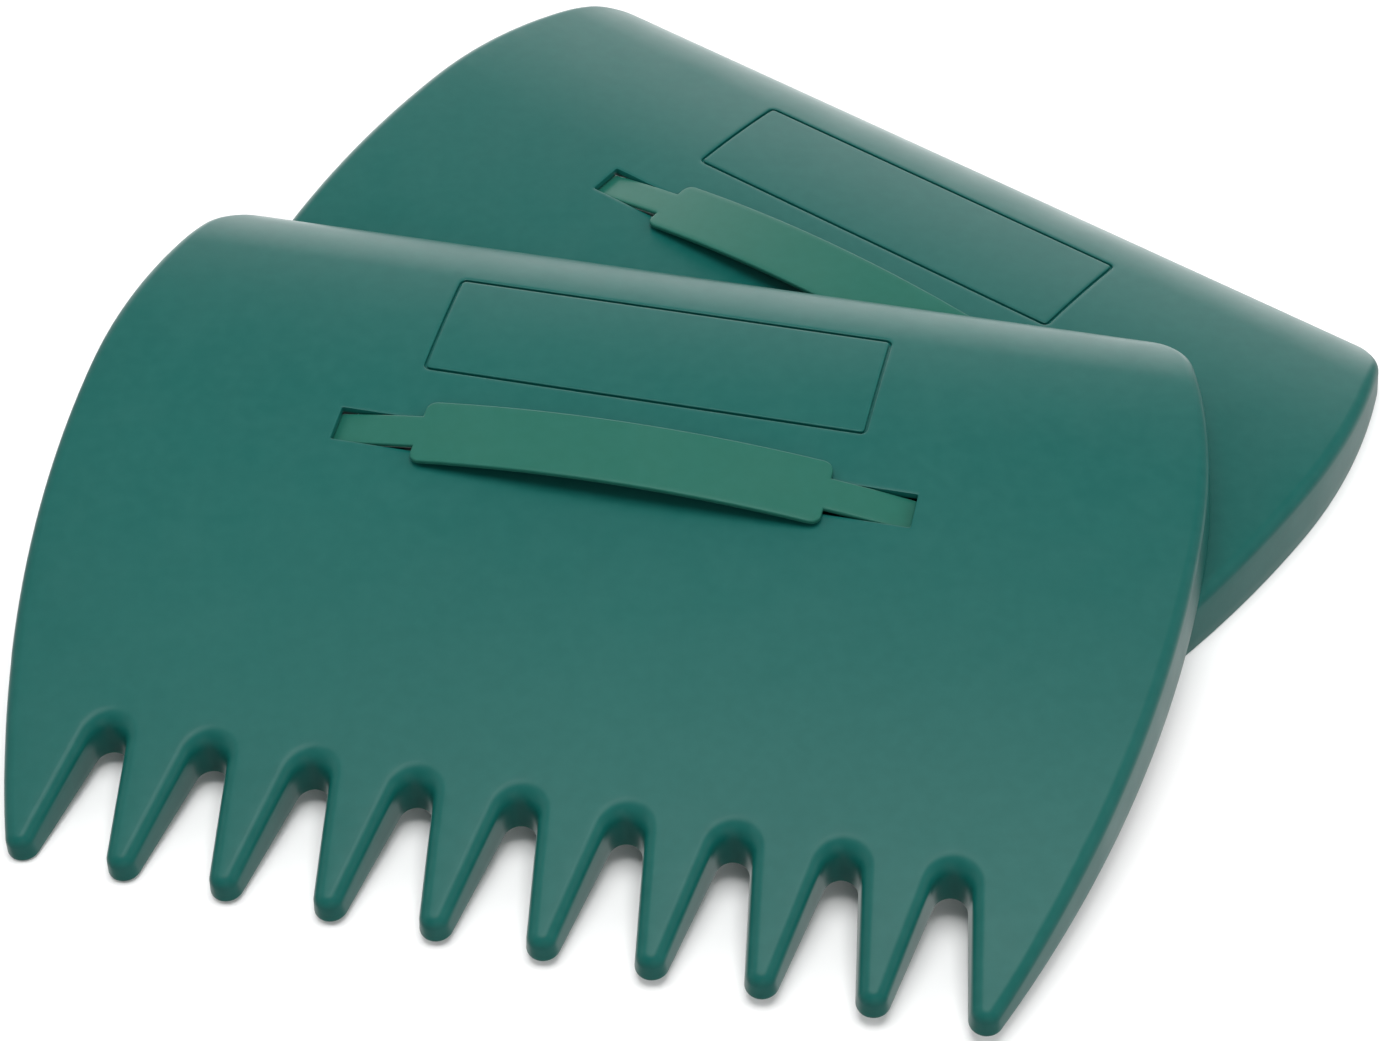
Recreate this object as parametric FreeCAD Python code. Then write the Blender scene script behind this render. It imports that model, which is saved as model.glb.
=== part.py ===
"""Pair of leaf grabber hands: two identical moulded shells with hand straps.

Each hand is drawn in its own frame: x across the hand, y from the tooth tips
to the heel, z up from the plane of the rim.  The rear hand lies flat and the
front hand lies over it, on its tooth tips and on the rear hand's strap.
"""
import FreeCAD
import Part
import math
import os

V = FreeCAD.Vector

# ---- shell outline, on the rim plane (mm) ----
TOOTH_COUNT = 10
TOOTH_PITCH = 32.0
TIP_RADIUS = 5.1
TIP_ROW_BOW = 1.8          # the middle teeth reach this much further out
ROOT_RADIUS = 5.0
ROOT_Y = 42.1              # top of a gap between two teeth
ROOT_ROW_BOW = 0.9
HALF_WIDTH = 182.8
WIDEST_Y = 174.8
SHOULDER_RADIUS = 211.0    # side, from the widest place to the corner
CORNER_RADIUS = 22.0
HEEL_Y = 262.0

# ---- shell section ----
WALL = 2.2
DRAFT = 0.10               # inward lean of the walls per mm of height
CREST_Y = 173.4
CREST_Z = 21.4
FRONT_RADIUS = 1150.0      # long slope from the crest to the tips
HEEL_ARCS = ((360.0, 10.0), (60.0, 32.0), (14.0, 62.0))   # radius, end slope in degrees
EDGE_RADIUS = 3.4          # rounding between the top and the walls
LOFT_HEIGHT = 24.0
CAVITY_HEIGHT = 20.0
SMALLEST_ARC = 1.0         # radius left to the last heel arc in the hollow
WALL_RISE = 0.25           # a face whose normal rises less than this is a wall
RIM_BAND = 1.0             # edges lower than this stay sharp
OVERSIZE = 20.0            # how far cutting blocks stand out past the shell

# ---- blank label outline, engraved in the top ----
LABEL_HALF_X = 72.7
LABEL_Y = (191.2, 235.5)
GROOVE_WIDTH = 0.8
GROOVE_DEPTH = 0.5

# ---- slots for the strap ----
SLOT_X = (62.0, 93.3)
SLOT_MID_Y = 163.7
SLOT_WIDTH = 13.0

# ---- strap ----
STRAP_THICKNESS = 1.8
STRAP_CREST_Z = 28.5       # top of the arch
STRAP_SLOT_Z = 18.7        # top of the tab where it goes under the shell
BAND_HALF_X = 66.0
BAND_WIDTH = 24.6
BAND_CORNER = 3.5
TAB_WIDTH = 12.2
TAIL_X = 98.0              # inner side of the stop under the shell
STOP_X = 103.5
STOP_WIDTH = 19.0

# ---- how the two hands lie ----
REAR_PLACE = (-55.2, -38.6)
REAR_YAW = -37.5
FRONT_PLACE = (-61.2, -168.8)
FRONT_YAW = -13.9
FRONT_PITCH = 5.7
FRONT_ROLL = -0.8
FRONT_LIFT = 2.2


def unit(v):
    return V(v).normalize()


def turned(v):
    """v turned a quarter turn to the left, in plan."""
    return V(-v.y, v.x, 0)


def cross_tangent(c1, r1, c2, r2):
    """Points of the line that leaves circle 1 and crosses to the other side of circle 2."""
    along = c2 - c1
    across = math.asin((r1 + r2) / along.Length)
    normal = FreeCAD.Rotation(V(0, 0, 1), -math.degrees(across)).multVec(turned(unit(along)))
    return c1 - normal * r1, c2 + normal * r2


def arc_between(p, q, centre, radius, side):
    """Arc about centre from p to q that passes through the given side."""
    return Part.Arc(p, centre + unit(side) * radius, q).toShape()


def mirror_x(p):
    return V(-p.x, p.y, p.z)


def tip_centre(i):
    x = (i - (TOOTH_COUNT - 1) / 2) * TOOTH_PITCH
    reach = x / (TOOTH_PITCH * (TOOTH_COUNT - 1) / 2)
    return V(x, TIP_RADIUS - TIP_ROW_BOW * (1 - reach ** 2), 0)


def root_centre(i):
    x = (i - (TOOTH_COUNT - 2) / 2) * TOOTH_PITCH
    reach = x / (TOOTH_PITCH * (TOOTH_COUNT - 2) / 2)
    return V(x, ROOT_Y - ROOT_RADIUS - ROOT_ROW_BOW * (1 - reach ** 2), 0)


def side_edges(inset):
    """Right-hand side, from the last tooth's tip to the back edge."""
    tip = tip_centre(TOOTH_COUNT - 1)
    # the flank touches the tip circle and is widest at WIDEST_Y
    rise = WIDEST_Y - tip.y
    spread = HALF_WIDTH - tip.x
    flank_radius = (spread ** 2 + rise ** 2 - TIP_RADIUS ** 2) / (2 * (spread - TIP_RADIUS))
    flank = V(HALF_WIDTH - flank_radius, WIDEST_Y, 0)
    start = tip + unit(tip - flank) * (TIP_RADIUS - inset)
    widest = V(HALF_WIDTH - inset, WIDEST_Y, 0)
    # the corner touches the shoulder and the back edge
    shoulder = V(HALF_WIDTH - SHOULDER_RADIUS, WIDEST_Y, 0)
    corner_y = HEEL_Y - CORNER_RADIUS
    reach = SHOULDER_RADIUS - CORNER_RADIUS
    corner = V(shoulder.x + math.sqrt(reach ** 2 - (corner_y - shoulder.y) ** 2), corner_y, 0)
    out = unit(corner - shoulder)
    touch = corner + out * (CORNER_RADIUS - inset)
    end = corner + V(0, CORNER_RADIUS - inset, 0)
    right, back = V(1, 0, 0), V(0, 1, 0)
    return [arc_between(start, widest, flank, flank_radius - inset, unit(start - flank) + right),
            arc_between(widest, touch, shoulder, SHOULDER_RADIUS - inset, out + right),
            arc_between(touch, end, corner, CORNER_RADIUS - inset, out + back)], start, end


def outline(inset):
    """Edges of a hand's closed outline, in order, moved inwards by inset."""
    tip_radius = TIP_RADIUS - inset
    root_radius = ROOT_RADIUS + inset
    right, side_start, back_end = side_edges(inset)
    edges = []
    arrive = mirror_x(side_start)
    for i in range(TOOTH_COUNT - 1):
        tip, root, following = tip_centre(i), root_centre(i), tip_centre(i + 1)
        leave, gap_in = cross_tangent(tip, tip_radius, root, root_radius)
        arrive_next, gap_out = [mirror_x(p) for p in cross_tangent(
            mirror_x(following), tip_radius, mirror_x(root), root_radius)]
        edges += [arc_between(arrive, leave, tip, tip_radius, V(0, -1, 0)),
                  Part.LineSegment(leave, gap_in).toShape(),
                  arc_between(gap_in, gap_out, root, root_radius, V(0, 1, 0)),
                  Part.LineSegment(gap_out, arrive_next).toShape()]
        arrive = arrive_next
    edges.append(arc_between(arrive, side_start, tip_centre(TOOTH_COUNT - 1), tip_radius,
                             V(0, -1, 0)))
    edges += right
    edges.append(Part.LineSegment(back_end, mirror_x(back_end)).toShape())
    for edge in reversed(right):
        first, middle, last = [edge.valueAt(edge.FirstParameter + k * (
            edge.LastParameter - edge.FirstParameter) / 2) for k in range(3)]
        edges.append(Part.Arc(mirror_x(last), mirror_x(middle), mirror_x(first)).toShape())
    return edges


def tapered(inset, height):
    """Solid block with leaning walls over the outline."""
    low = outline(inset)
    high = [e.translated(V(0, 0, height)) for e in outline(inset + DRAFT * height)]
    faces = [Part.makeRuledSurface(a, b) for a, b in zip(low, high)]
    faces += [Part.Face(Part.Wire(low)), Part.Face(Part.Wire(high))]
    shell = Part.makeShell(faces)
    shell.sewShape()
    solid = Part.makeSolid(shell)
    if solid.Volume < 0:
        solid.reverse()
    return solid


def under_profile(drop=0.0):
    """Everything below the arched top surface, lowered by drop."""
    reach = HALF_WIDTH + OVERSIZE
    far_y = -OVERSIZE
    slope = math.asin((CREST_Y - far_y) / FRONT_RADIUS)
    crest = V(0, CREST_Y, CREST_Z - drop)
    half = slope / 2
    edges = [Part.Arc(V(0, far_y, crest.z - FRONT_RADIUS * (1 - math.cos(slope))),
                      V(0, CREST_Y - FRONT_RADIUS * math.sin(half),
                        crest.z - FRONT_RADIUS * (1 - math.cos(half))), crest).toShape()]
    point, angle = crest, 0.0
    for radius, end_degrees in HEEL_ARCS:
        radius = max(radius - drop, SMALLEST_ARC)
        end = math.radians(end_degrees)

        def on_arc(a, p=point, r=radius, a0=angle):
            return V(0, p.y + r * (math.sin(a) - math.sin(a0)), p.z - r * (math.cos(a0) - math.cos(a)))

        following = on_arc(end)
        edges.append(Part.Arc(point, on_arc((angle + end) / 2), following).toShape())
        point, angle = following, end
    floor_z = -OVERSIZE
    foot = V(0, point.y + (point.z - floor_z) / math.tan(angle), floor_z)
    front = edges[0].Vertexes[0].Point
    corner = V(0, front.y, floor_z)
    edges += [Part.LineSegment(point, foot).toShape(), Part.LineSegment(foot, corner).toShape(),
              Part.LineSegment(corner, front).toShape()]
    face = Part.Face(Part.Wire(Part.__sortEdges__(edges)))
    face.translate(V(-reach, 0, 0))
    return face.extrude(V(2 * reach, 0, 0))


def normal_at(face, point):
    u, v = face.Surface.parameter(point)
    return face.normalAt(u, v)


def rounded_top(block):
    """Block with the edge between its top and its walls rounded."""
    chosen = []
    for edge in block.Edges:
        middle = edge.valueAt((edge.FirstParameter + edge.LastParameter) / 2)
        rises = [normal_at(face, middle).z for face in block.Faces
                 if any(edge.isSame(other) for other in face.Edges)]
        if middle.z > RIM_BAND and len(rises) == 2 and min(rises) < WALL_RISE < max(rises):
            chosen.append(edge)
    return block.makeFillet(EDGE_RADIUS, chosen)


def box_over(x0, x1, y0, y1):
    """Tall block over a rectangle in plan."""
    return Part.makeBox(x1 - x0, y1 - y0, STRAP_CREST_Z + 2 * OVERSIZE, V(x0, y0, -OVERSIZE))


def label_groove():
    """Ring of material that the engraved label outline removes."""
    low_y, high_y = LABEL_Y
    ring = box_over(-LABEL_HALF_X, LABEL_HALF_X, low_y, high_y).cut(
        box_over(-LABEL_HALF_X + GROOVE_WIDTH, LABEL_HALF_X - GROOVE_WIDTH,
                 low_y + GROOVE_WIDTH, high_y - GROOVE_WIDTH))
    return ring.cut(under_profile(GROOVE_DEPTH))


def hand_shell():
    """One moulded shell: toothed, open underneath, with two slots and a blank label."""
    body = rounded_top(tapered(0, LOFT_HEIGHT).common(under_profile()).Solids[0])
    cavity = tapered(WALL, CAVITY_HEIGHT).common(under_profile(WALL))
    shell = body.cut(cavity).cut(label_groove())
    for x0, x1 in (SLOT_X, (-SLOT_X[1], -SLOT_X[0])):
        shell = shell.cut(box_over(x0, x1, SLOT_MID_Y - SLOT_WIDTH / 2, SLOT_MID_Y + SLOT_WIDTH / 2))
    return shell.Solids[0]


def arched_sheet():
    """The sheet that the strap is cut from, arched across the hand."""
    drop = STRAP_CREST_Z - STRAP_SLOT_Z
    radius = (SLOT_X[1] ** 2 + drop ** 2) / (2 * drop)
    centre = V(0, SLOT_MID_Y - BAND_WIDTH, STRAP_CREST_Z - radius)
    outer = Part.makeCylinder(radius, 2 * BAND_WIDTH, centre, V(0, 1, 0))
    inner = Part.makeCylinder(radius - STRAP_THICKNESS, 2 * BAND_WIDTH, centre, V(0, 1, 0))
    return outer.cut(inner)


def across_strap(x0, x1, width):
    return box_over(x0, x1, SLOT_MID_Y - width / 2, SLOT_MID_Y + width / 2)


def strap_band():
    """The wide middle of the strap, which the hand goes under."""
    plan = across_strap(-BAND_HALF_X, BAND_HALF_X, BAND_WIDTH)
    upright = [e for e in plan.Edges if abs(e.tangentAt(e.FirstParameter).z) > 0.9]
    return arched_sheet().common(plan.makeFillet(BAND_CORNER, upright)).Solids[0]


def strap_tabs():
    """The two narrow ends, which pass through the slots to stops under the shell."""
    sheet = arched_sheet()
    tabs = []
    for side in (-1, 1):
        tab = across_strap(*sorted((side * BAND_HALF_X, side * STOP_X)), TAB_WIDTH)
        stop = across_strap(*sorted((side * TAIL_X, side * STOP_X)), STOP_WIDTH)
        tabs.append(sheet.common(tab.fuse(stop)).removeSplitter().Solids[0])
    return Part.makeCompound(tabs)


def lay_rear(shape):
    turn = FreeCAD.Rotation(V(0, 0, 1), REAR_YAW)
    return shape.transformed(FreeCAD.Placement(V(*REAR_PLACE, 0), turn).toMatrix())


def lay_front(shape):
    """Turned in plan, then tipped up at the heel and a little to one side."""
    turn = (FreeCAD.Rotation(V(0, 0, 1), FRONT_YAW) * FreeCAD.Rotation(V(1, 0, 0), FRONT_PITCH)
            * FreeCAD.Rotation(V(0, 1, 0), FRONT_ROLL))
    return shape.transformed(FreeCAD.Placement(V(*FRONT_PLACE, FRONT_LIFT), turn).toMatrix())


def build():
    """Name and shape of every sub-part, with the pair centred over the origin."""
    pieces = {"shell": hand_shell(), "strap": strap_band(), "strap_tabs": strap_tabs()}
    nodes = {}
    for side, lay in (("rear", lay_rear), ("front", lay_front)):
        for name, shape in pieces.items():
            nodes[side + "_" + name] = lay(shape)
    box = Part.makeCompound(list(nodes.values())).optimalBoundingBox(False)
    centring = V(-box.Center.x, -box.Center.y, -box.ZMin)
    return {name: shape.translated(centring) for name, shape in nodes.items()}


os.makedirs("parts", exist_ok=True)
for node_name, node_shape in build().items():
    node_shape.exportStep("parts/" + node_name + ".step")
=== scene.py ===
"""Leaf grabber hands: the visual model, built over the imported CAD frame."""
import math

import bpy
import numpy as np
from mathutils import Matrix, Vector
from mathutils.geometry import delaunay_2d_cdt


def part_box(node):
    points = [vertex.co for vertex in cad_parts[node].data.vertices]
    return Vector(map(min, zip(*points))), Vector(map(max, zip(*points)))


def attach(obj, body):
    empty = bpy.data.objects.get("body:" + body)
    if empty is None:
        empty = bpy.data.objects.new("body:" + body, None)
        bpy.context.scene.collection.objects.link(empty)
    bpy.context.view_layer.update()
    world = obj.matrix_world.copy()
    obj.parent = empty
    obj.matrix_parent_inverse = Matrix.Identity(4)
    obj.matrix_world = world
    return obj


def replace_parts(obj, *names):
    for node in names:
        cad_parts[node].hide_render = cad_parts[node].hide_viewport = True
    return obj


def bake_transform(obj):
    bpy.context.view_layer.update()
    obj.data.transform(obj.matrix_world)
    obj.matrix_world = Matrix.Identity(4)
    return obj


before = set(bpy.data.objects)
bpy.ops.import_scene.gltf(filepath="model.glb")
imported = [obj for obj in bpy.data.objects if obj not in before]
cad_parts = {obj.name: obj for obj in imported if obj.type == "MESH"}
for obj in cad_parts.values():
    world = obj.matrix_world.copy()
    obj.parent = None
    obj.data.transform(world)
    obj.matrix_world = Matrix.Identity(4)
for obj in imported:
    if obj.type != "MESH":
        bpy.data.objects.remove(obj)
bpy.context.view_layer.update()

MM = 0.001

# ---- one hand, in its own frame: x across, y from the tips to the heel, z up (mm) ----
TOOTH_COUNT = 10
TOOTH_PITCH = 32.0
TIP_RADIUS = 5.1
TIP_ROW_BOW = 1.8
ROOT_RADIUS = 5.0
ROOT_Y = 42.1
ROOT_ROW_BOW = 0.9
HALF_WIDTH = 182.8
WIDEST_Y = 174.8
SHOULDER_RADIUS = 211.0
CORNER_RADIUS = 22.0
HEEL_Y = 262.0

WALL = 2.2
DRAFT = 0.10
CREST_Y = 173.4
CREST_Z = 21.4
FRONT_RADIUS = 1150.0
HEEL_ARCS = ((360.0, 10.0), (60.0, 32.0), (14.0, 62.0))   # radius, end slope in degrees

TOOTH_ROUNDING = 4.0       # edge between the top and the walls, on the teeth
ROOT_ROUNDING = 6.8        # the same at the end of a gap between two teeth
BODY_ROUNDING = 4.4        # the same along the sides and the back
INNER_ROUNDING = 0.9       # the least that the inside of that edge has
ROOT_LEAN = 0.10           # extra lean of the wall at the end of a gap
ROOT_SPAN = (18.0, 32.0)   # the roundings change over these stretches of y
TOOTH_SPAN = (34.0, 60.0)
RIM_ROUNDING = 0.45
HEEL_BEND_Y = 228.0        # the top curves down more tightly beyond this

LABEL_HALF = (72.7, 22.15)
LABEL_Y = 213.35
LABEL_CORNER = 2.2
GROOVE = ((-1.6, 0.0), (-0.5, 0.0), (-0.3, 0.05), (-0.1, 0.2), (0.0, 1.1),       # inward offset, depth
          (0.85, 1.1), (0.95, 0.2), (1.15, 0.05), (1.35, 0.0), (2.1, 0.0))

SLOT_HALF = (15.65, 6.5)
SLOT_X = 77.65
SLOT_Y = 163.7
SLOT_CORNER = 0.5
SLOT_LIP = ((1.5, 0.0), (0.45, 0.0), (0.13, 0.1), (0.0, 0.42))    # outward offset, depth

STRAP_THICKNESS = 1.8
STRAP_CREST_Z = 28.5
STRAP_RADIUS = 449.03
BAND_HALF = (66.0, 12.3)
BAND_CORNER = 3.5
TAB_HALF_Y = 6.1
TAB_SEAM_X = 67.2
TAIL_X = 98.0
STOP_X = 103.5
STOP_HALF_Y = 9.5
STRAP_ROUNDING = 0.6
STOP_CORNER = 0.8

REAR_TURN = Matrix.Rotation(math.radians(-37.5), 3, "Z")
FRONT_TURN = (Matrix.Rotation(math.radians(-13.9), 3, "Z") @ Matrix.Rotation(math.radians(5.7), 3, "X")
              @ Matrix.Rotation(math.radians(-0.8), 3, "Y"))

# ---- camera ----
AIM = Vector((-0.01049, -0.02932, 0.0))
VIEW_ELEVATION = math.radians(46.355)
VIEW_DISTANCE = 1.02388
VIEW_ROLL = math.radians(-0.816)
LENS = 81.62

# ---- mesh: number of points or rings, and distances between points (mm) ----
TIP_STEPS, FLANK_STEPS, ROOT_STEPS = 26, 16, 30
SIDE_STEPS = (48, 26, 24)  # flank, shoulder and corner
HEEL_STEPS = 90
RIM_STEPS, WALL_STEPS = 4, 4
OUTER_STEPS, INNER_STEPS = 12, 6
CORNER_STEPS = 4
TOP_SPACING, UNDER_SPACING = 4.5, 6.0
HEEL_DENSITY = 3           # rows near the heel are this many times closer
EDGE_ROWS = ((1.5, 3), (3.8, 5))    # distance from the edge, and one point kept in so many
ROW_SLACK = 0.12
GRID_MARGIN, HEEL_MARGIN = 5.2, 4.8
TOOTH_LINE = (3.0, 48.0, 16)        # start and end above the tip's centre, and number of points
TOOTH_MARGIN = 0.8
CUT_MARGIN = 2.2           # grid points keep this far from a slot or the groove
LEAST_SPACING = 0.9
SLOT_STEP, LABEL_STEP, STRAP_STEP = 2.5, 3.0, 2.0
SOLVER_ROUNDS = 60
FIRST_REACH = 3.0

SHARP_ANGLE = 38.0

# ---- plastic: linear colours, and noises as (scale, detail) ----
SHELL_COLOUR, SHELL_DARK = (0.0032, 0.082, 0.070), (0.0028, 0.078, 0.067)
STRAP_COLOUR, STRAP_DARK = (0.0120, 0.103, 0.074), (0.0110, 0.098, 0.070)
SPECK = (0.03, 0.16, 0.14)
SHELL_ROUGHNESS, STRAP_ROUGHNESS, ROUGHNESS_SWING = 0.33, 0.32, 0.03
REFRACTION = 1.49
CLOUDS, MOTTLE, GLOSS = (9.0, 3.0), (240.0, 4.0), (55.0, 4.0)
MOTTLE_AMOUNT = 0.10
GRAIN, GRAIN_HEIGHT, GRAIN_STRENGTH = (1500.0, 3.0), 0.00002, 0.35
FLOW, FLOW_HEIGHT, FLOW_STRENGTH = (14.0, 2.0), 0.0002, 0.25

# ---- light seen in reflections: by direction, as parts of a unit vector ----
WALL_SEEN = (0.77, 0.93)   # towards +y: where the bright wall starts, and where it is full
NEAR_SIDE = (-0.8, 0.1)
FAR_FLOOR = (-0.1, 0.3)
HORIZON = (-0.35, -0.05)
OVERHEAD = (0.92, 0.985)
NEAR_LIGHT, SIDE_LIGHT, WALL_LIGHT = 0.12, 0.25, 1.5
FLOOR_LIGHT, CEILING_LIGHT = 0.5, 1.4

# ---- lamps: place (m), width and depth (m), watts ----
LAMPS = {"ceiling_fill": ((0.0, 0.15, 1.7), (1.3, 1.1), 24.0),
         "left_fill": ((-1.5, 0.2, 1.1), (1.2, 1.2), 12.0),
         "right_fill": ((1.5, 0.0, 0.9), (1.2, 1.2), 12.0),
         "near_fill": ((0.3, -1.7, 0.8), (1.2, 1.2), 12.0)}
FLOOR_HALF = 6.0
FLOOR_Z = -0.0002          # just under the rims
FLOOR_WHITE, FLOOR_ROUGHNESS = (0.9, 0.9, 0.9, 1.0), 0.9


def smooth(low, high, value):
    t = np.clip((value - low) / (high - low), 0.0, 1.0)
    return t * t * (3 - 2 * t)


# ------------------------------------------------------------------ outline of a hand

def arc_points(centre, radius, start, end, count, inward):
    """Points and inward normals on an arc; inward is +1 if the material is on the centre's side."""
    angles = np.linspace(start, end, count, endpoint=False)
    out = np.stack([np.cos(angles), np.sin(angles)], 1)
    return centre + radius * out, -inward * out


def line_points(start, end, normal, count):
    t = np.linspace(0, 1, count, endpoint=False)[:, None]
    return start + (end - start) * t, np.repeat(normal[None], count, 0)


def tip_centre(i):
    reach = (i - (TOOTH_COUNT - 1) / 2) / ((TOOTH_COUNT - 1) / 2)
    x = (i - (TOOTH_COUNT - 1) / 2) * TOOTH_PITCH
    return np.array([x, TIP_RADIUS - TIP_ROW_BOW * (1 - reach ** 2)])


def root_centre(i):
    reach = (i - (TOOTH_COUNT - 2) / 2) / ((TOOTH_COUNT - 2) / 2)
    x = (i - (TOOTH_COUNT - 2) / 2) * TOOTH_PITCH
    return np.array([x, ROOT_Y - ROOT_RADIUS - ROOT_ROW_BOW * (1 - reach ** 2)])


def flank_normal(tip, root, side):
    """Outward normal of the straight flank between a tip and a gap on its given side."""
    along = root - tip
    angle = math.atan2(along[1], along[0])
    turn = math.acos((TIP_RADIUS + ROOT_RADIUS) / math.hypot(*along))
    return angle - side * turn


def right_side():
    """Arcs of the right-hand side as (centre, radius, start angle, end angle)."""
    tip = tip_centre(TOOTH_COUNT - 1)
    rise, spread = WIDEST_Y - tip[1], HALF_WIDTH - tip[0]
    radius = (spread ** 2 + rise ** 2 - TIP_RADIUS ** 2) / (2 * (spread - TIP_RADIUS))
    flank = np.array([HALF_WIDTH - radius, WIDEST_Y])
    away = tip - flank
    shoulder = np.array([HALF_WIDTH - SHOULDER_RADIUS, WIDEST_Y])
    reach = SHOULDER_RADIUS - CORNER_RADIUS
    rise = HEEL_Y - CORNER_RADIUS - WIDEST_Y
    turn = math.asin(rise / reach)
    corner = shoulder + np.array([reach * math.cos(turn), rise])
    return [(flank, radius, math.atan2(away[1], away[0]), 0.0),
            (shoulder, SHOULDER_RADIUS, 0.0, turn), (corner, CORNER_RADIUS, turn, math.pi / 2)]


def hand_outline():
    """Points and inward normals all round the rim, counter-clockwise from the left tip."""
    parts = []
    sides = right_side()
    first_angle = math.pi - sides[0][2]
    last = TOOTH_COUNT - 1
    for i in range(TOOTH_COUNT):
        tip = tip_centre(i)
        start = first_angle if i == 0 else flank_normal(tip, root_centre(i - 1), -1)
        end = sides[0][2] if i == last else flank_normal(tip, root_centre(i), 1)
        start, end = start % (2 * math.pi), end % (2 * math.pi)
        parts.append(arc_points(tip, TIP_RADIUS, start, end, TIP_STEPS, 1))
        if i == last:
            break
        root, following = root_centre(i), tip_centre(i + 1)
        out = np.array([math.cos(end), math.sin(end)])
        parts.append(line_points(tip + TIP_RADIUS * out, root - ROOT_RADIUS * out, -out, FLANK_STEPS))
        back = flank_normal(following, root, -1) % (2 * math.pi)
        parts.append(arc_points(root, ROOT_RADIUS, end - math.pi, back - math.pi, ROOT_STEPS, -1))
        out = np.array([math.cos(back), math.sin(back)])
        parts.append(line_points(root - ROOT_RADIUS * out, following + TIP_RADIUS * out, -out,
                                 FLANK_STEPS))
    for (centre, radius, start, end), count in zip(sides, SIDE_STEPS):
        parts.append(arc_points(centre, radius, start, end, count, 1))
    half_back = sides[2][0][0]
    parts.append(line_points(np.array([half_back, HEEL_Y]), np.array([-half_back, HEEL_Y]),
                             np.array([0.0, -1.0]), HEEL_STEPS))
    for (centre, radius, start, end), count in zip(reversed(sides), reversed(SIDE_STEPS)):
        mirrored = centre * np.array([-1, 1])
        parts.append(arc_points(mirrored, radius, math.pi - end, math.pi - start, count, 1))
    return np.concatenate([p for p, _ in parts]), np.concatenate([n for _, n in parts])


# ------------------------------------------------------------------ section of a hand

def top_height(y, drop=0.0):
    """Height and slope of the arched top surface, lowered by drop."""
    y = np.asarray(y, float)
    z = CREST_Z - drop - FRONT_RADIUS + np.sqrt(FRONT_RADIUS ** 2 - (CREST_Y - y) ** 2)
    slope = (CREST_Y - y) / np.sqrt(FRONT_RADIUS ** 2 - (CREST_Y - y) ** 2)
    at, height, angle = CREST_Y, CREST_Z - drop, 0.0
    for radius, end in HEEL_ARCS:
        radius, end = radius - drop, math.radians(end)
        mid_y, mid_z = at - radius * math.sin(angle), height - radius * math.cos(angle)
        here = np.clip(y - mid_y, 0, radius * 0.999)
        fall = np.sqrt(radius ** 2 - here ** 2)
        z, slope = np.where(y > at, mid_z + fall, z), np.where(y > at, -here / fall, slope)
        at, height, angle = mid_y + radius * math.sin(end), mid_z + radius * math.cos(end), end
    steep = math.tan(angle)
    return np.where(y > at, height - steep * (y - at), z), np.where(y > at, -steep, slope)


def rounded_corner(points, normals, lean, rounding, start, drop):
    """Circle between the leaning wall and the top: where it leaves the wall, centre, first and last angle."""
    reach = np.full_like(lean, start + FIRST_REACH)
    wall_angle = np.arctan2(1.0, lean)
    for _ in range(SOLVER_ROUNDS):
        y = points[:, 1] + normals[:, 1] * reach
        z, slope = top_height(y, drop)
        slope = slope * normals[:, 1]
        # where the top's tangent meets the wall
        corner_z = (z - slope * (reach - start)) / (1 - slope * lean)
        corner_u = start + lean * corner_z
        turn = wall_angle - np.arctan(slope)
        length = rounding * np.tan(turn / 2)
        reach = 0.5 * reach + 0.5 * (corner_u + length * np.cos(np.arctan(slope)))
    wall = np.stack([lean, np.ones_like(lean)], 1) / np.hypot(lean, 1)[:, None]
    foot = np.stack([corner_u, corner_z], 1) - wall * length[:, None]
    centre = foot + rounding[:, None] * np.stack([wall[:, 1], -wall[:, 0]], 1)
    tilt = np.arctan(slope)
    return foot, centre, np.arctan2(wall[:, 0], -wall[:, 1]), np.arctan2(np.cos(tilt), -np.sin(tilt))


def rim_rings(lean):
    """Rings round the rim, from the inner wall to the outer one, as (inset, height)."""
    rings = []
    quarter = np.linspace(0, math.pi / 2, RIM_STEPS + 1)[:-1]
    for edge, side, turns in ((WALL, -1, quarter[::-1]), (0.0, 1, quarter)):
        for turn in turns:
            z = RIM_ROUNDING * (1 - math.cos(turn))
            inset = edge + side * RIM_ROUNDING * (1 - math.sin(turn))
            rings.append((inset + lean * z, np.full_like(lean, z)))
    return rings


def section_rings(points, normals):
    """Rings from the underside, down the inner wall, over the rim and up to the top, as (inset, height)."""
    y, rise = points[:, 1], normals[:, 1]
    on_tooth = 1 - smooth(*TOOTH_SPAN, y)
    at_root = smooth(*ROOT_SPAN, y) * (y < TOOTH_SPAN[1]) * np.clip(rise, 0, 1) ** 2
    rounding = (BODY_ROUNDING + (TOOTH_ROUNDING - BODY_ROUNDING) * on_tooth
                + (ROOT_ROUNDING - TOOTH_ROUNDING) * at_root)
    lean = DRAFT + ROOT_LEAN * at_root
    outer, inner = [], []
    inner_rounding = np.maximum(rounding - WALL, INNER_ROUNDING)
    for rings, start, drop, radius, steps in ((outer, 0.0, 0.0, rounding, OUTER_STEPS),
                                              (inner, WALL, WALL, inner_rounding, INNER_STEPS)):
        foot, centre, first, last = rounded_corner(points, normals, lean, radius, start, drop)
        for t in np.linspace(0.0, 1.0, WALL_STEPS + 1)[:-1]:
            z = RIM_ROUNDING + (foot[:, 1] - RIM_ROUNDING) * t
            rings.append((start + lean * z, z))
        for t in np.linspace(0.0, 1.0, steps):
            angle = first + (last - first) * t
            rings.append((centre[:, 0] + radius * np.cos(angle), centre[:, 1] + radius * np.sin(angle)))
    return list(reversed(inner)) + rim_rings(lean) + outer


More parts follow.
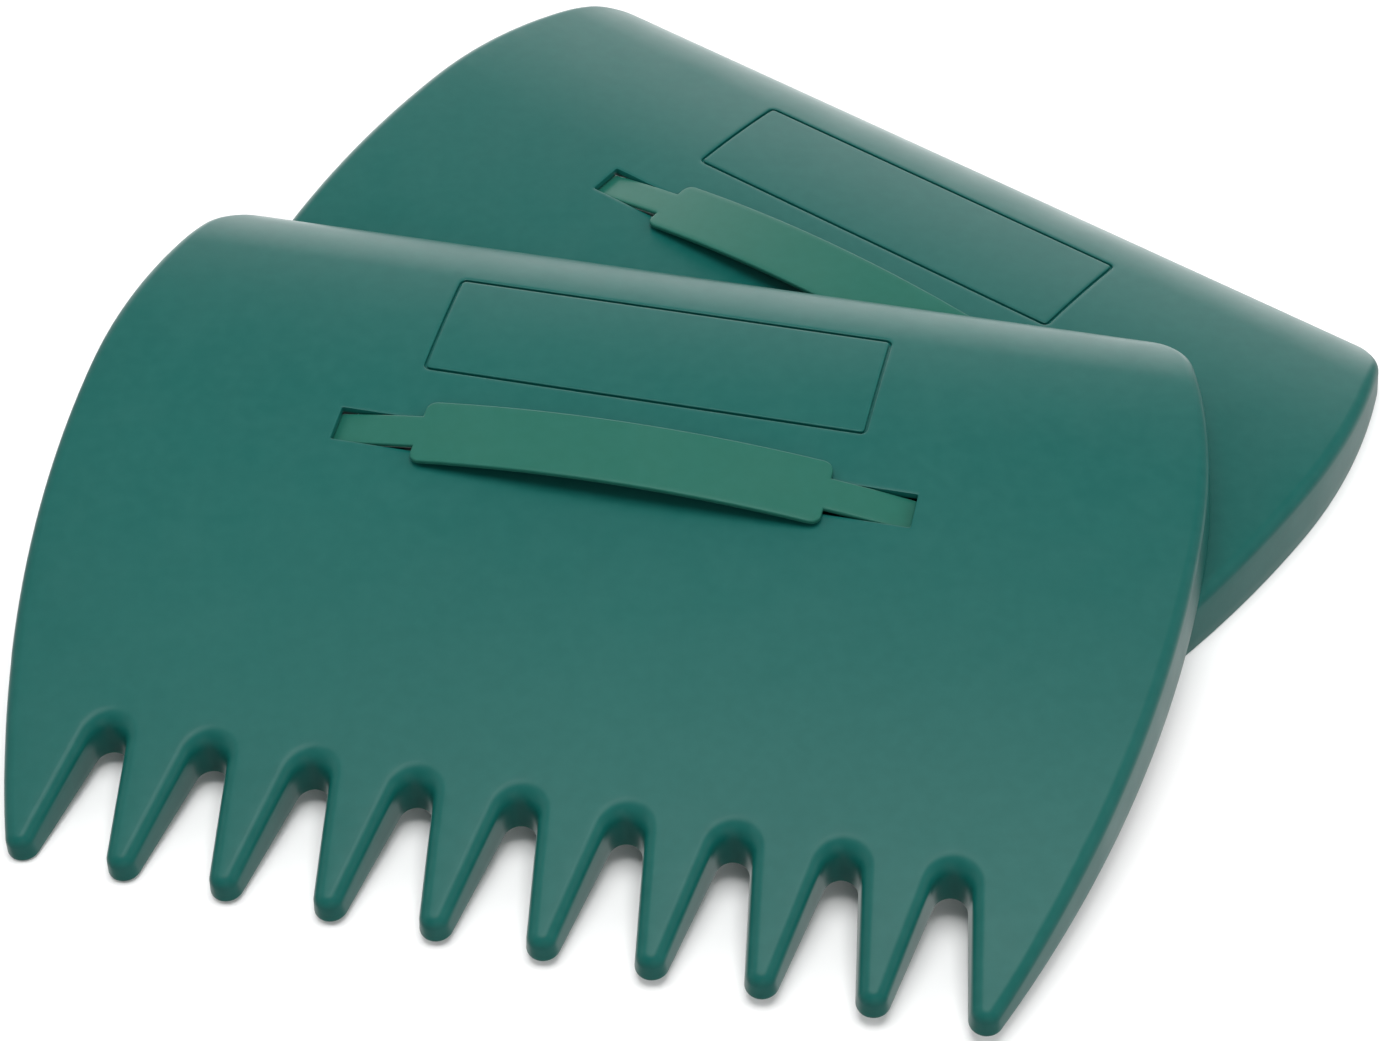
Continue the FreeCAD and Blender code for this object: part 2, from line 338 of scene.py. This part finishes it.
# ------------------------------------------------------------------ mesh helpers

class Sheet:
    """Vertices and faces of a mesh in the making, in a hand's own frame."""

    def __init__(self):
        self.points, self.faces = [], []

    def ring(self, xy, z):
        first = len(self.points)
        self.points += [(float(a), float(b), float(c)) for (a, b), c in zip(xy, np.broadcast_to(z, len(xy)))]
        return list(range(first, len(self.points)))

    def bridge(self, a, b):
        n = len(a)
        self.faces += [(a[k], a[(k + 1) % n], b[(k + 1) % n], b[k]) for k in range(n)]

    def fill(self, outside, holes, extra, surface, upward):
        """Triangles between closed loops of existing vertices, with extra points between them."""
        for loop in holes:
            extra = extra[~inside(extra, self.plan(loop))]
        ids, edges = [], []
        for loop in [outside] + holes:
            first = len(ids)
            ids += loop
            edges += [(first + k, first + (k + 1) % len(loop)) for k in range(len(loop))]
        ids += self.ring(extra, surface(extra))
        flat = [Vector(p) for p in self.plan(ids)]
        found, _, triangles, origin, _, _ = delaunay_2d_cdt(flat, edges, [], 0, 1e-6)
        middle = np.array([p[:] for p in found])[np.array(triangles)].mean(1)
        keep = inside(middle, self.plan(outside))
        for loop in holes:
            keep &= ~inside(middle, self.plan(loop))
        for t in np.array(triangles)[keep]:
            face = [ids[origin[v][0]] for v in t]
            self.faces.append(tuple(face if upward else face[::-1]))

    def plan(self, ids):
        return np.array([self.points[i][:2] for i in ids])


def inside(points, loop):
    """Which points lie inside a closed polygon."""
    x, y = points[:, 0], points[:, 1]
    result = np.zeros(len(points), bool)
    for (x0, y0), (x1, y1) in zip(loop, np.roll(loop, -1, 0)):
        if y0 != y1:
            result ^= ((y0 > y) != (y1 > y)) & (x < x0 + (x1 - x0) * (y - y0) / (y1 - y0))
    return result


def rectangle(centre, half, corner, offset, step):
    """Counter-clockwise rounded rectangle moved out by offset, with matching points for every offset."""
    points = []
    for k, (sx, sy) in enumerate(((1, 1), (-1, 1), (-1, -1), (1, -1))):
        hub = np.array([centre[0] + sx * (half[0] - corner), centre[1] + sy * (half[1] - corner)])
        for angle in np.linspace(0, math.pi / 2, CORNER_STEPS + 1) + k * math.pi / 2:
            points.append(hub + (corner + offset) * np.array([math.cos(angle), math.sin(angle)]))
        length = 2 * (half[k % 2] - corner)
        count = max(int(length / step), 1)
        ahead = np.array([[-1, 0], [0, -1], [1, 0], [0, 1]][k])
        last = points[-1]
        points += [last + ahead * length * t for t in np.arange(1, count) / count]
    return np.array(points)


def nearest(points, loop):
    """Distance of each point from the nearest of many closely spaced points, and which one that is."""
    squares = [((block[:, None] - loop[None]) ** 2).sum(2)
               for block in np.array_split(points, len(points) // 500 + 1)]
    return (np.sqrt(np.concatenate([block.min(1) for block in squares])),
            np.concatenate([block.argmin(1) for block in squares]))


def distance_to(points, loop):
    return nearest(points, loop)[0]


def thinned(points, spacing):
    """One point for each cell of a square grid."""
    kept = {}
    for p in points[np.lexsort(points.T)]:
        kept.setdefault((round(p[0] / spacing), round(p[1] / spacing)), p)
    return np.array(list(kept.values()))


def inner_points(outline, normals, reach, keep_out, spacing):
    """Points that fill the top: two rows that follow the edge, a regular grid, and a line on each tooth."""
    rows = []
    by_heel = outline[:, 1] > HEEL_BEND_Y
    for step, every in EDGE_ROWS:
        chosen = (np.arange(len(outline)) % every == 0) | by_heel
        row, wanted = (outline + normals * (reach + step)[:, None])[chosen], (reach + step)[chosen]
        rows.append(row[distance_to(row, outline) > wanted - ROW_SLACK])
    xs = np.arange(-HALF_WIDTH, HALF_WIDTH + spacing, spacing)
    ys = np.concatenate([np.arange(0, HEEL_BEND_Y, spacing),
                         np.arange(HEEL_BEND_Y, HEEL_Y, spacing / HEEL_DENSITY)])
    grid = np.stack(np.meshgrid(xs, ys), -1).reshape(-1, 2)
    grid = grid[inside(grid, outline)]
    away, near = nearest(grid, outline)
    grid = grid[away > reach[near] + np.where(by_heel[near], HEEL_MARGIN, GRID_MARGIN)]
    low, high, count = TOOTH_LINE
    teeth = np.concatenate([np.linspace(tip_centre(i) + (0, low), tip_centre(i) + (0, high), count)
                            for i in range(TOOTH_COUNT)])
    away, near = nearest(teeth, outline)
    teeth = teeth[(away > reach[near] + TOOTH_MARGIN) & (away <= reach[near] + GRID_MARGIN)]
    points = np.concatenate(rows + [grid, teeth])
    for centre, half, margin in keep_out:
        away = np.abs(points - np.array(centre)) - np.array(half)
        points = points[(away.max(1) > margin) | (away.max(1) < -margin - 1.0)]
    return thinned(points, LEAST_SPACING)


# ------------------------------------------------------------------ the shell

def top_surface(xy):
    return top_height(xy[:, 1])[0]


def underside(xy):
    return top_height(xy[:, 1], WALL)[0]


def shell_sheet():
    """One hollow toothed shell with its slots and the engraved blank label."""
    outline, normals = hand_outline()
    sheet = Sheet()
    sections = section_rings(outline, normals)
    rings = [sheet.ring(outline + normals * inset[:, None], z) for inset, z in sections]
    for a, b in zip(rings, rings[1:]):
        sheet.bridge(a, b)
    slots = [(side * SLOT_X, SLOT_Y) for side in (-1, 1)]
    slot_tops, slot_feet = [], []
    for centre in slots:
        lip = []
        for offset, depth in SLOT_LIP:
            xy = rectangle(centre, SLOT_HALF, SLOT_CORNER, offset, SLOT_STEP)
            lip.append(sheet.ring(xy, top_surface(xy) - depth))
        lip.append(sheet.ring(xy, underside(xy)))
        for a, b in zip(lip, lip[1:]):
            sheet.bridge(a, b)
        slot_tops.append(lip[0])
        slot_feet.append(lip[-1])
    label = (0.0, LABEL_Y)
    groove = []
    for inward, depth in GROOVE:
        xy = rectangle(label, LABEL_HALF, LABEL_CORNER, -inward, LABEL_STEP)
        groove.append(sheet.ring(xy, top_surface(xy) - depth))
    for a, b in zip(groove, groove[1:]):
        sheet.bridge(a, b)
    keep_out = [(c, SLOT_HALF, CUT_MARGIN) for c in slots]
    extra = inner_points(outline, normals, sections[-1][0], keep_out + [(label, LABEL_HALF, CUT_MARGIN)],
                         TOP_SPACING)
    within = inside(extra, sheet.plan(groove[-1]))
    sheet.fill(rings[-1], slot_tops + [groove[0]], extra[~within], top_surface, True)
    sheet.fill(groove[-1], [], extra[within], top_surface, True)
    extra = inner_points(outline, normals, sections[0][0], keep_out, UNDER_SPACING)
    sheet.fill(rings[0], slot_feet, extra, underside, False)
    return sheet


# ------------------------------------------------------------------ the strap

def strap_top(xy):
    return STRAP_CREST_Z - STRAP_RADIUS + np.sqrt(STRAP_RADIUS ** 2 - xy[:, 0] ** 2)


def strap_under(xy):
    return STRAP_CREST_Z - STRAP_RADIUS + np.sqrt((STRAP_RADIUS - STRAP_THICKNESS) ** 2 - xy[:, 0] ** 2)


def orthogonal_path(corners, seams, step):
    """Counter-clockwise path with inward normals, from corners (x, y, radius) that turn by 90 degrees.

    The edge after each corner in seams is a flat joint with the next piece, so it isn't rounded.
    """
    points, normals = [], []
    n = len(corners)
    here = np.array([c[:2] for c in corners], float)
    along = np.roll(here, -1, 0) - here
    lengths = np.abs(along).sum(1)
    along = along / lengths[:, None]
    left = np.stack([-along[:, 1], along[:, 0]], 1)
    for k in range(n):
        radius, after = corners[k][2], corners[(k + 1) % n][2]
        if radius:
            hub = here[k] + (along[k] - along[k - 1]) * radius
            for angle in np.linspace(0, math.pi / 2, 8):
                normal = math.cos(angle) * left[k - 1] + math.sin(angle) * left[k]
                points.append(hub - normal * radius)
                normals.append(normal)
        else:
            points.append(here[k])
            normals.append((0 if k - 1 in seams else 1) * left[k - 1] + (0 if k in seams else 1) * left[k])
        start, end = radius, lengths[k] - after
        count = max(int((end - start) / step), 2)
        for s in np.arange(1, count) / count:
            points.append(here[k] + along[k] * (start + (end - start) * s))
            normals.append((0 if k in seams else 1) * left[k])
    return np.array(points), np.array(normals)


def strap_sheet(corners, seams):
    """Part of the arched strap, with rounded edges."""
    outline, normals = orthogonal_path(corners, seams, STRAP_STEP)
    outline = outline + (0, SLOT_Y)
    sheet = Sheet()
    rings = []
    for low, turns in ((True, np.linspace(90, 0, 5)), (False, np.linspace(0, 90, 6))):
        for turn in np.radians(turns):
            inset, fall = STRAP_ROUNDING * (1 - math.cos(turn)), STRAP_ROUNDING * (1 - math.sin(turn))
            xy = outline + normals * inset
            rings.append(sheet.ring(xy, strap_under(xy) + fall if low else strap_top(xy) - fall))
    for a, b in zip(rings, rings[1:]):
        sheet.bridge(a, b)
    xs = np.arange(-math.ceil(STOP_X), STOP_X + 1, STRAP_STEP)
    ys = np.arange(-math.floor(BAND_HALF[1]), BAND_HALF[1], STRAP_STEP)
    for loop, surface, upward in ((rings[-1], strap_top, True), (rings[0], strap_under, False)):
        rim = sheet.plan(loop)
        grid = np.stack(np.meshgrid(xs, ys), -1).reshape(-1, 2)
        grid = grid + (0, SLOT_Y)
        grid = grid[inside(grid, rim)]
        sheet.fill(loop, [], grid[distance_to(grid, rim) > LEAST_SPACING], surface, upward)
    return sheet


def band_sheet():
    x, y, seam, tab = *BAND_HALF, TAB_SEAM_X, TAB_HALF_Y
    half = [(seam, -tab, 0), (seam, tab, 0), (x, tab, 0), (x, y, BAND_CORNER), (-x, y, BAND_CORNER),
            (-x, tab, 0)]
    return strap_sheet(half + [(-a, -b, r) for a, b, r in half], (0, 6))


def tab_sheet(side):
    """The strap's narrow end, through its slot to the stop under the shell."""
    seam, tab, stop = TAB_SEAM_X, TAB_HALF_Y, STOP_HALF_Y
    corners = [(seam, tab, 0), (seam, -tab, 0), (TAIL_X, -tab, 0), (TAIL_X, -stop, STOP_CORNER),
               (STOP_X, -stop, STOP_CORNER), (STOP_X, stop, STOP_CORNER), (TAIL_X, stop, STOP_CORNER),
               (TAIL_X, tab, 0)]
    return strap_sheet([(side * x, side * y, r) for x, y, r in corners], (0,))


# ------------------------------------------------------------------ objects

def laid(points, turn, shift):
    """Points of a hand's own frame (mm) in the CAD frame (m)."""
    return (np.array(points) @ np.array(turn).T + shift) * MM


def resting_shift(sheet, turn, node):
    """Where the hand's own origin lies, from the box of its CAD shell."""
    turned = np.array(sheet.points) @ np.array(turn).T
    low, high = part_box(node)
    return np.array((low + high) / 2) / MM - (turned.min(0) + turned.max(0)) / 2


def make_piece(name, sheet, turn, shift, material):
    mesh = bpy.data.meshes.new(name)
    mesh.from_pydata([tuple(p) for p in laid(sheet.points, turn, shift)], [], sheet.faces)
    mesh.validate()
    mesh.shade_smooth()
    mesh.set_sharp_from_angle(angle=math.radians(SHARP_ANGLE))
    mesh.materials.append(material)
    piece = bpy.data.objects.new(name, mesh)
    bpy.context.scene.collection.objects.link(piece)
    return piece


def build_hand(side, turn, sheets, shell_look, strap_look):
    """The shell and the strap of one hand, in place of their CAD nodes."""
    hand, strap_body = side + "_hand", side + "_strap_body"
    shift = resting_shift(sheets["shell"], turn, side + "_shell")
    shell = make_piece(side + "_hand_shell", sheets["shell"], turn, shift, shell_look)
    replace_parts(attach(shell, hand), side + "_shell")
    band = make_piece(side + "_hand_strap", sheets["band"], turn, shift, strap_look)
    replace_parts(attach(band, strap_body), side + "_strap")
    for end, sign in (("left", -1), ("right", 1)):
        tab = make_piece(side + "_hand_strap_" + end, sheets[end], turn, shift, strap_look)
        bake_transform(tab)
        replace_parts(tab, side + "_strap_tabs")


# ------------------------------------------------------------------ materials

def plastic(name, colour, darker, roughness):
    """Satin moulded polypropylene: fine grain, faint flow marks, and slightly uneven gloss."""
    material = bpy.data.materials.new(name)
    material.use_nodes = True
    nodes, links = material.node_tree.nodes, material.node_tree.links
    shader = nodes["Principled BSDF"]
    shader.inputs["IOR"].default_value = REFRACTION
    place = nodes.new("ShaderNodeTexCoord")

    def noise(scale, detail):
        node = nodes.new("ShaderNodeTexNoise")
        node.inputs["Scale"].default_value = scale
        node.inputs["Detail"].default_value = detail
        links.new(place.outputs["Object"], node.inputs["Vector"])
        return node.outputs["Fac"]

    def ranged(value, low, high, to_low, to_high):
        node = nodes.new("ShaderNodeMapRange")
        for socket, number in (("From Min", low), ("From Max", high),
                               ("To Min", to_low), ("To Max", to_high)):
            node.inputs[socket].default_value = number
        links.new(value, node.inputs["Value"])
        return node.outputs["Result"]

    def blended(amount, first, second):
        node = nodes.new("ShaderNodeMix")
        node.data_type = "RGBA"
        links.new(amount, node.inputs["Factor"])
        for socket, value in ((node.inputs["A"], first), (node.inputs["B"], second)):
            if isinstance(value, tuple):
                socket.default_value = (*value, 1)
            else:
                links.new(value, socket)
        return node.outputs["Result"]

    def bump(kind, distance, strength):
        node = nodes.new("ShaderNodeBump")
        node.inputs["Distance"].default_value = distance
        node.inputs["Strength"].default_value = strength
        links.new(noise(*kind), node.inputs["Height"])
        return node

    mottled = blended(ranged(noise(*CLOUDS), 0.35, 0.65, 0.0, 1.0), colour, darker)
    fine = ranged(noise(*MOTTLE), 0.35, 0.7, 0.0, MOTTLE_AMOUNT)
    links.new(blended(fine, mottled, SPECK), shader.inputs["Base Color"])
    links.new(ranged(noise(*GLOSS), 0.3, 0.7, roughness - ROUGHNESS_SWING, roughness + ROUGHNESS_SWING),
              shader.inputs["Roughness"])
    grain = bump(GRAIN, GRAIN_HEIGHT, GRAIN_STRENGTH)
    flow = bump(FLOW, FLOW_HEIGHT, FLOW_STRENGTH)
    links.new(flow.outputs["Normal"], grain.inputs["Normal"])
    links.new(grain.outputs["Normal"], shader.inputs["Normal"])
    return material


# ------------------------------------------------------------------ studio

def add_floor():
    mesh = bpy.data.meshes.new("floor")
    corners = [(x * FLOOR_HALF, y * FLOOR_HALF, FLOOR_Z) for x, y in ((-1, -1), (1, -1), (1, 1), (-1, 1))]
    mesh.from_pydata(corners, [], [(0, 1, 2, 3)])
    floor = bpy.data.objects.new("floor", mesh)
    bpy.context.scene.collection.objects.link(floor)
    material = bpy.data.materials.new("floor_white")
    material.use_nodes = True
    shader = material.node_tree.nodes["Principled BSDF"]
    shader.inputs["Base Color"].default_value = FLOOR_WHITE
    shader.inputs["Roughness"].default_value = FLOOR_ROUGHNESS
    shader.inputs["Specular IOR Level"].default_value = 0.0
    mesh.materials.append(material)
    floor.visible_glossy = False


def add_world():
    """What the gloss mirrors: a bright wall behind, a pale floor on that side, and a glow overhead."""
    world = bpy.data.worlds.new("studio")
    bpy.context.scene.world = world
    world.use_nodes = True
    nodes, links = world.node_tree.nodes, world.node_tree.links
    place = nodes.new("ShaderNodeTexCoord")
    split = nodes.new("ShaderNodeSeparateXYZ")
    links.new(place.outputs["Generated"], split.inputs["Vector"])

    def ramp(axis, span, start, end):
        node = nodes.new("ShaderNodeMapRange")
        node.interpolation_type = "SMOOTHSTEP"
        for socket, number in (("From Min", span[0]), ("From Max", span[1]),
                               ("To Min", start), ("To Max", end)):
            node.inputs[socket].default_value = number
        links.new(split.outputs[axis], node.inputs["Value"])
        return node.outputs["Result"]

    def combined(operation, first, second):
        node = nodes.new("ShaderNodeMath")
        node.operation = operation
        links.new(first, node.inputs[0])
        links.new(second, node.inputs[1])
        return node.outputs["Value"]

    sides = combined("ADD", ramp("Y", NEAR_SIDE, NEAR_LIGHT, SIDE_LIGHT),
                     ramp("Y", WALL_SEEN, 0.0, WALL_LIGHT))
    floor = combined("MULTIPLY", ramp("Y", FAR_FLOOR, 0.0, 1.0), ramp("Z", HORIZON, FLOOR_LIGHT, 0.0))
    ceiling = combined("ADD", floor, ramp("Z", OVERHEAD, 0.0, CEILING_LIGHT))
    links.new(combined("ADD", sides, ceiling), nodes["Background"].inputs["Strength"])
    nodes["Background"].inputs["Color"].default_value = (1, 1, 1, 1)


def add_lamp(name, place, size, watts):
    """Soft rectangular lamp that faces the origin and isn't mirrored in the gloss."""
    data = bpy.data.lights.new(name, "AREA")
    data.shape = "RECTANGLE"
    data.size, data.size_y = size
    data.energy = watts
    lamp = bpy.data.objects.new(name, data)
    bpy.context.scene.collection.objects.link(lamp)
    lamp.location = place
    lamp.rotation_euler = (-Vector(place)).to_track_quat("-Z", "Y").to_euler()
    lamp.visible_glossy = False


def add_camera():
    data = bpy.data.cameras.new("camera")
    data.sensor_width = 36.0
    data.lens = LENS
    data.clip_start, data.clip_end = 0.05, 50
    camera = bpy.data.objects.new("camera", data)
    bpy.context.scene.collection.objects.link(camera)
    camera.location = AIM + VIEW_DISTANCE * Vector((0, -math.cos(VIEW_ELEVATION), math.sin(VIEW_ELEVATION)))
    camera.rotation_euler = (Matrix.Rotation(math.pi / 2 - VIEW_ELEVATION, 3, "X")
                             @ Matrix.Rotation(VIEW_ROLL, 3, "Z")).to_euler()
    bpy.context.scene.camera = camera


# ------------------------------------------------------------------ the scene

sheets = {"shell": shell_sheet(), "band": band_sheet(), "left": tab_sheet(-1), "right": tab_sheet(1)}
shell_plastic = plastic("shell_polypropylene", SHELL_COLOUR, SHELL_DARK, SHELL_ROUGHNESS)
strap_plastic = plastic("strap_polypropylene", STRAP_COLOUR, STRAP_DARK, STRAP_ROUGHNESS)
build_hand("rear", REAR_TURN, sheets, shell_plastic, strap_plastic)
build_hand("front", FRONT_TURN, sheets, shell_plastic, strap_plastic)

add_floor()
add_world()
for name, (place, size, watts) in LAMPS.items():
    add_lamp(name, place, size, watts)
add_camera()
bpy.context.scene.view_settings.view_transform = "Standard"
